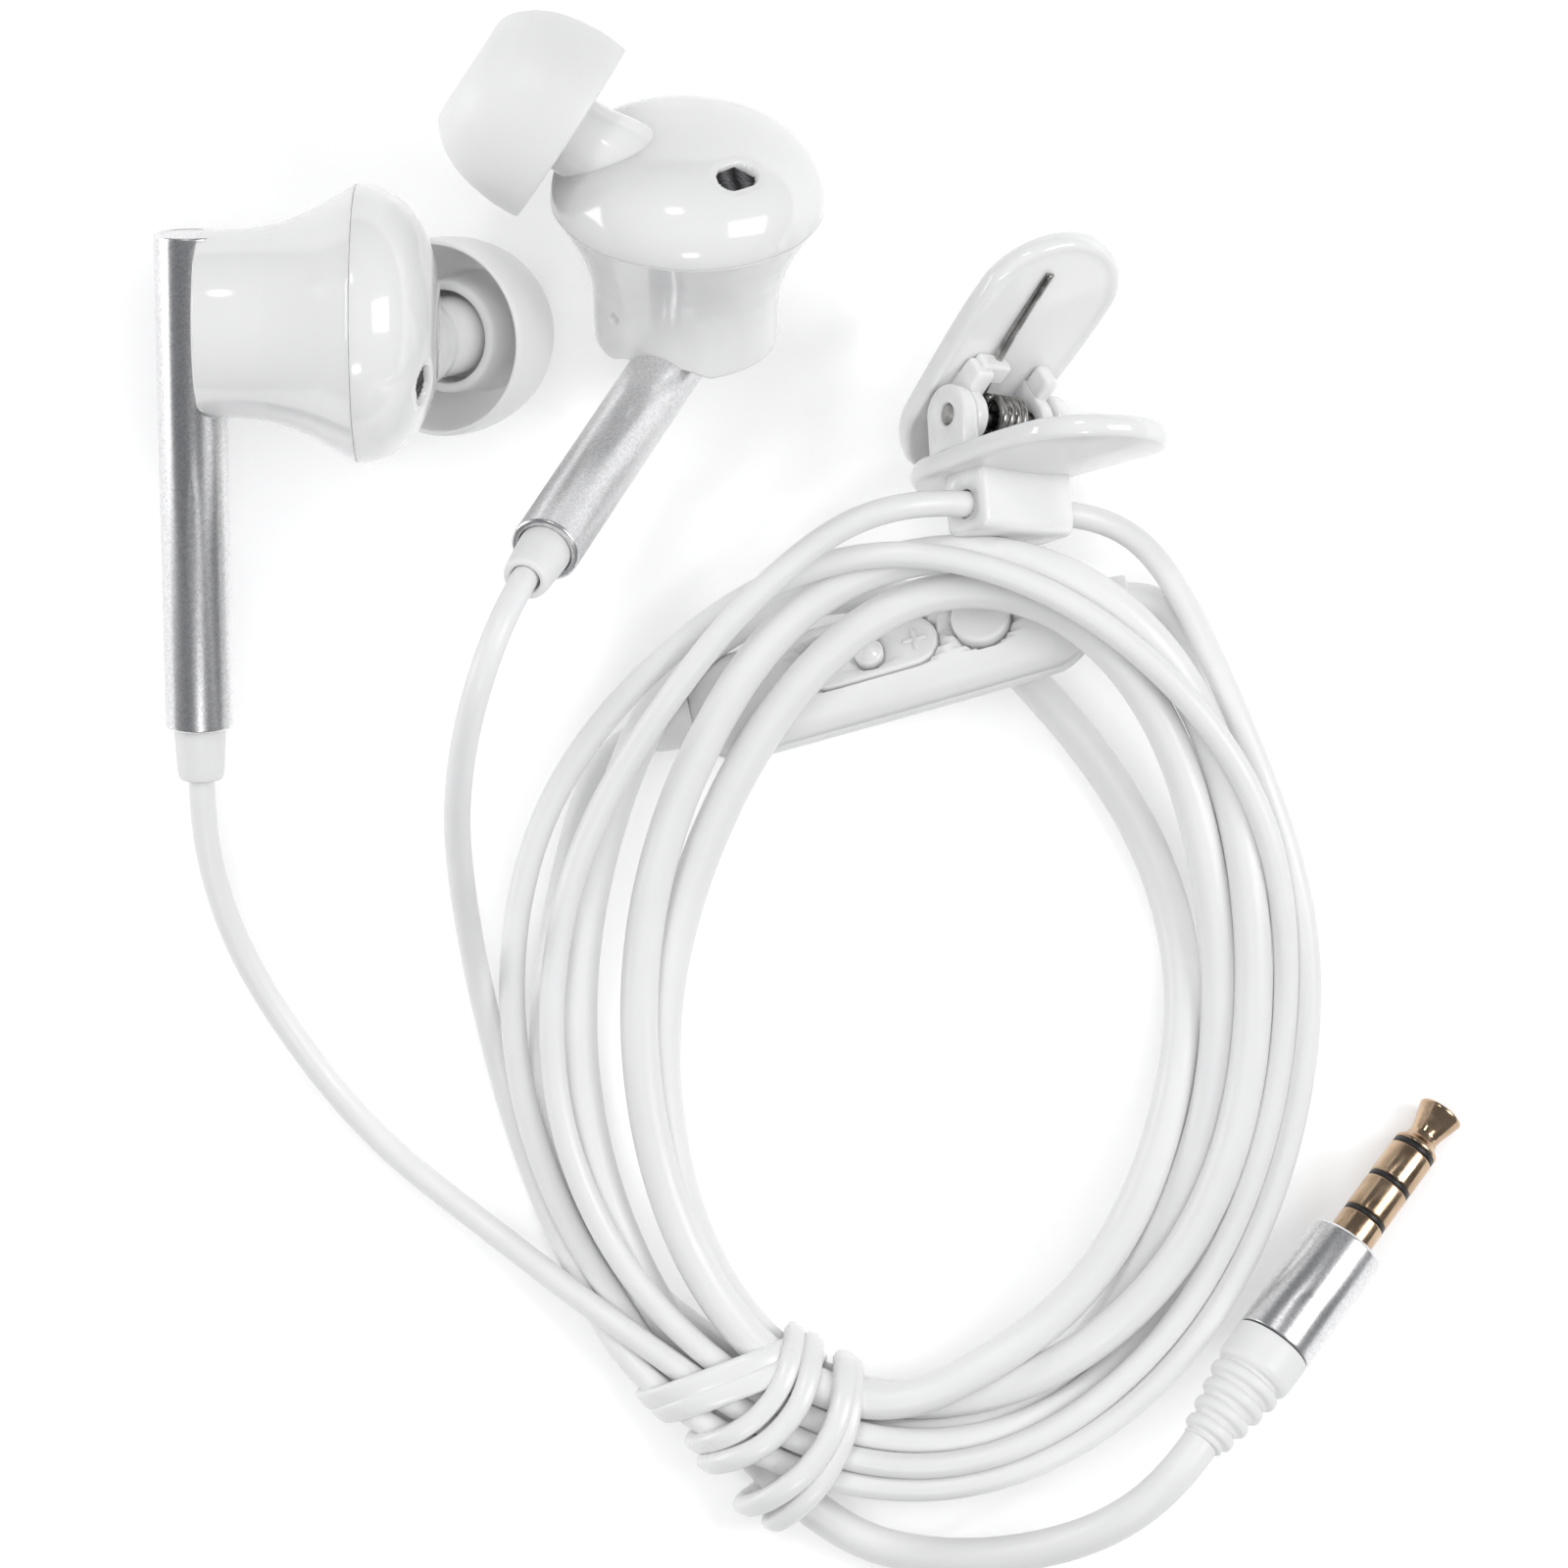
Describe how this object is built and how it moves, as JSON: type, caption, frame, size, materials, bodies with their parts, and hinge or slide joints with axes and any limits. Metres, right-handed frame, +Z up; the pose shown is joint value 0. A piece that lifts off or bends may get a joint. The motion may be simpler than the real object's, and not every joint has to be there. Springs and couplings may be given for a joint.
{
  "type": "wired earphones",
  "caption": "In-ear earphones on metal stems with soft tips, cords wound in a tied coil, an in-line remote, a sprung shirt clip and a four-pole 3.5 mm plug.",
  "frame": {"origin": "under the middle of the two earbuds' outer box, on the surface that everything lies on", "axes": "+Z up from the table; +Y from the coil towards the earbuds, the long side of the two earbuds' box; +X from the left earbud towards the plug"},
  "size_m": [0.0946, 0.1136, 0.0368],
  "materials": {
    "gloss_white": "polished white plastic",
    "satin_white": "satin white plastic",
    "silicone": "soft white silicone",
    "cord_skin": "smooth white elastomer",
    "aluminium": "fine-blasted and anodised silver",
    "gold": "gold plate",
    "steel": "bright spring steel",
    "black": "matte black",
    "circuit_board": "green solder mask"
  },
  "bodies": {
    "earphones": {"left_stem_tube": "aluminium", "left_stem_cap": "aluminium", "left_strain_relief": "satin_white", "left_rear_shell": "gloss_white", "left_front_shell": "gloss_white", "left_driver": "steel", "left_nozzle_screen": "black", "left_vent_screen": "black", "left_ear_tip": "silicone", "right_stem_tube": "aluminium", "right_stem_cap": "aluminium", "right_strain_relief": "satin_white", "right_rear_shell": "gloss_white", "right_front_shell": "gloss_white", "right_driver": "steel", "right_nozzle_screen": "black", "right_vent_screen": "black", "right_ear_tip": "silicone", "remote_upper_shell": "gloss_white", "remote_lower_shell": "gloss_white", "remote_circuit_board": "circuit_board", "remote_microphone": "steel", "switch_dome_minus": "steel", "switch_dome_centre": "steel", "switch_dome_plus": "steel", "switch_dome_call": "steel", "remote_boot_left": "satin_white", "remote_boot_right": "satin_white", "clip_lower_jaw": "gloss_white", "clip_pin": "steel", "clip_spring": "steel", "cord_splitter": "satin_white", "plug_sleeve_contact": "gold", "plug_insulator_1": "black", "plug_ring_2": "gold", "plug_insulator_2": "black", "plug_ring_1": "gold", "plug_insulator_3": "black", "plug_tip": "gold", "plug_shell": "aluminium", "plug_inner_mould": "satin_white", "plug_boot": "satin_white", "cord_tie": "cord_skin", "cord_coil": "cord_skin", "left_ear_cord": "cord_skin", "right_ear_cord": "cord_skin", "clip_cord": "cord_skin", "plug_lead": "cord_skin", "remote_left_lead": "cord_skin", "remote_right_lead": "cord_skin"},
    "clip_lever": {"clip_upper_lever": "gloss_white"},
    "volume_rocker": {"volume_rocker": "satin_white"},
    "centre_button": {"centre_button": "gloss_white"},
    "call_button": {"call_button": "gloss_white"}
  },
  "joints": [
    {"name": "clip_hinge", "type": "hinge", "parent": "earphones", "child": "clip_lever", "pos_m": [0.03648, -0.00137, 0.0112], "axis": [-0.7856, 0.054, 0.6164], "range_deg": [-22, 0], "deforming": ["clip_spring"]},
    {"name": "volume_rock", "type": "hinge", "parent": "earphones", "child": "volume_rocker", "pos_m": [0.02733, -0.01876, 0.00625], "axis": [-0.185, 0.8337, -0.5203], "range_deg": [-2, 2]},
    {"name": "centre_press", "type": "slide", "parent": "earphones", "child": "centre_button", "axis": [0.2173, -0.4816, -0.849], "range_m": [0, 0.00025]},
    {"name": "call_press", "type": "slide", "parent": "earphones", "child": "call_button", "axis": [0.2173, -0.4816, -0.849], "range_m": [0, 0.00025]}
  ]
}
